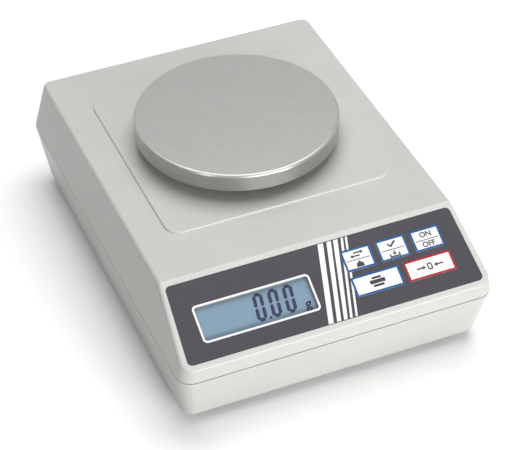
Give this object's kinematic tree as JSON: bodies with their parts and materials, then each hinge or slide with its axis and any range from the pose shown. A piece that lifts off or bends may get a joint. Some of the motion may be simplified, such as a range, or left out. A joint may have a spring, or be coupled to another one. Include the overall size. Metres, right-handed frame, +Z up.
{
  "type": "top-loading balance",
  "caption": "Compact top-loading laboratory balance with a round steel pan, a sloped display panel, press keys and levelling feet.",
  "frame": {"origin": "on the table, under the middle of the housing", "axes": "+X to the right as the user faces the display, +Y to the rear, +Z up"},
  "size_m": [0.165, 0.2279, 0.08],
  "materials": {
    "housing_abs": "fine moulded texture, pale warm grey",
    "panel_film": "printed polyester film, dark grey",
    "key_print": "printed polyester film, white with a coloured border",
    "clear_window": "clear acrylic",
    "display_glass": "liquid crystal glass, blue-grey",
    "light_guide": "milky light guide",
    "stainless_steel": "satin brushed stainless steel",
    "zinc_steel": "zinc-plated steel",
    "machined_aluminium": "machined aluminium",
    "brass": "turned brass",
    "black_plastic": "moulded black plastic",
    "rubber": "black rubber",
    "circuit_board": "green solder mask",
    "gauge_foil": "polyimide foil",
    "white_plastic": "moulded nylon, off white",
    "cable_sheath": "grey cable sheath",
    "battery_case": "plain steel battery case"
  },
  "bodies": {
    "root": {"base_shell": "housing_abs", "top_cover": "housing_abs", "battery": "battery_case", "battery_snap": "black_plastic", "foot_inserts": "brass", "housing_screws": "zinc_steel", "load_cell": "machined_aluminium", "strain_gauges": "gauge_foil", "cell_plinth": "machined_aluminium", "cell_base_screws": "zinc_steel", "overload_stop": "zinc_steel", "keypad_overlay": "panel_film", "display_window": "clear_window", "lcd_glass": "display_glass", "lcd_bezel": "zinc_steel", "backlight": "light_guide", "zebra_strips": "rubber", "display_board": "circuit_board", "display_board_screws": "zinc_steel", "tact_switches": "black_plastic", "main_board": "circuit_board", "board_components": "black_plastic", "main_board_screws": "zinc_steel", "board_headers": "white_plastic", "display_ribbon": "cable_sheath", "cell_lead": "cable_sheath", "battery_leads": "cable_sheath", "dc_jack": "black_plastic", "serial_connector": "zinc_steel", "serial_jack_screws": "zinc_steel"},
    "load_frame": {"load_bracket": "machined_aluminium", "bracket_screws": "zinc_steel", "pan_post": "machined_aluminium"},
    "pan_carrier": {"pan_support": "black_plastic", "pan_buffers": "rubber"},
    "pan": {"weighing_pan": "stainless_steel"},
    "door": {"battery_door": "housing_abs"},
    "key_mode": {"key_mode": "key_print"},
    "key_set": {"key_set": "key_print"},
    "key_power": {"key_power": "key_print"},
    "key_print": {"key_print": "key_print"},
    "key_tare": {"key_tare": "key_print"},
    "foot_front_left": {"foot_pad_front_left": "rubber"},
    "wheel_front_left": {"foot_wheel_front_left": "black_plastic"},
    "foot_front_right": {"foot_pad_front_right": "rubber"},
    "wheel_front_right": {"foot_wheel_front_right": "black_plastic"},
    "foot_rear_left": {"foot_pad_rear_left": "rubber"},
    "wheel_rear_left": {"foot_wheel_rear_left": "black_plastic"},
    "foot_rear_right": {"foot_pad_rear_right": "rubber"},
    "wheel_rear_right": {"foot_wheel_rear_right": "black_plastic"}
  },
  "joints": [
    {"name": "weighing_deflection", "type": "slide", "parent": "root", "child": "load_frame", "axis": [0, 0, -1], "range_m": [0, 0.0005], "stiffness_N_per_m": 12000, "springref_m": -0.0002, "deforming": ["load_cell"]},
    {"name": "support_lift", "type": "slide", "parent": "load_frame", "child": "pan_carrier", "axis": [0, 0, 1], "range_m": [0, 0.02]},
    {"name": "pan_lift", "type": "slide", "parent": "pan_carrier", "child": "pan", "axis": [0, 0, 1], "range_m": [0, 0.04]},
    {"name": "battery_door_slide", "type": "slide", "parent": "root", "child": "door", "axis": [0, 1, 0], "range_m": [0, 0.05]},
    {"name": "key_mode_press", "type": "slide", "parent": "root", "child": "key_mode", "axis": [0, 0.4729, -0.8811], "range_m": [0, 0.0004], "stiffness_N_per_m": 1500, "springref_m": -0.0004},
    {"name": "key_set_press", "type": "slide", "parent": "root", "child": "key_set", "axis": [0, 0.4729, -0.8811], "range_m": [0, 0.0004], "stiffness_N_per_m": 1500, "springref_m": -0.0004},
    {"name": "key_power_press", "type": "slide", "parent": "root", "child": "key_power", "axis": [0, 0.4729, -0.8811], "range_m": [0, 0.0004], "stiffness_N_per_m": 1500, "springref_m": -0.0004},
    {"name": "key_print_press", "type": "slide", "parent": "root", "child": "key_print", "axis": [0, 0.4729, -0.8811], "range_m": [0, 0.0004], "stiffness_N_per_m": 1500, "springref_m": -0.0004},
    {"name": "key_tare_press", "type": "slide", "parent": "root", "child": "key_tare", "axis": [0, 0.4729, -0.8811], "range_m": [0, 0.0004], "stiffness_N_per_m": 1500, "springref_m": -0.0004},
    {"name": "foot_front_left_travel", "type": "slide", "parent": "root", "child": "foot_front_left", "axis": [0, 0, -1], "range_m": [0, 0.003]},
    {"name": "foot_front_left_turn", "type": "hinge", "parent": "foot_front_left", "child": "wheel_front_left", "pos_m": [-0.064, -0.088, 0.0035], "axis": [0, 0, -1], "range_deg": [0, 1080]},
    {"name": "foot_front_right_travel", "type": "slide", "parent": "root", "child": "foot_front_right", "axis": [0, 0, -1], "range_m": [0, 0.003]},
    {"name": "foot_front_right_turn", "type": "hinge", "parent": "foot_front_right", "child": "wheel_front_right", "pos_m": [0.064, -0.088, 0.0035], "axis": [0, 0, -1], "range_deg": [0, 1080]},
    {"name": "foot_rear_left_travel", "type": "slide", "parent": "root", "child": "foot_rear_left", "axis": [0, 0, -1], "range_m": [0, 0.003]},
    {"name": "foot_rear_left_turn", "type": "hinge", "parent": "foot_rear_left", "child": "wheel_rear_left", "pos_m": [-0.064, 0.088, 0.0035], "axis": [0, 0, -1], "range_deg": [0, 1080]},
    {"name": "foot_rear_right_travel", "type": "slide", "parent": "root", "child": "foot_rear_right", "axis": [0, 0, -1], "range_m": [0, 0.003]},
    {"name": "foot_rear_right_turn", "type": "hinge", "parent": "foot_rear_right", "child": "wheel_rear_right", "pos_m": [0.064, 0.088, 0.0035], "axis": [0, 0, -1], "range_deg": [0, 1080]}
  ],
  "couplings": [
    {"joint": "foot_front_left_turn", "follows": "foot_front_left_travel", "rad_per_m": 6283.2},
    {"joint": "foot_front_right_turn", "follows": "foot_front_right_travel", "rad_per_m": 6283.2},
    {"joint": "foot_rear_left_turn", "follows": "foot_rear_left_travel", "rad_per_m": 6283.2},
    {"joint": "foot_rear_right_turn", "follows": "foot_rear_right_travel", "rad_per_m": 6283.2}
  ]
}
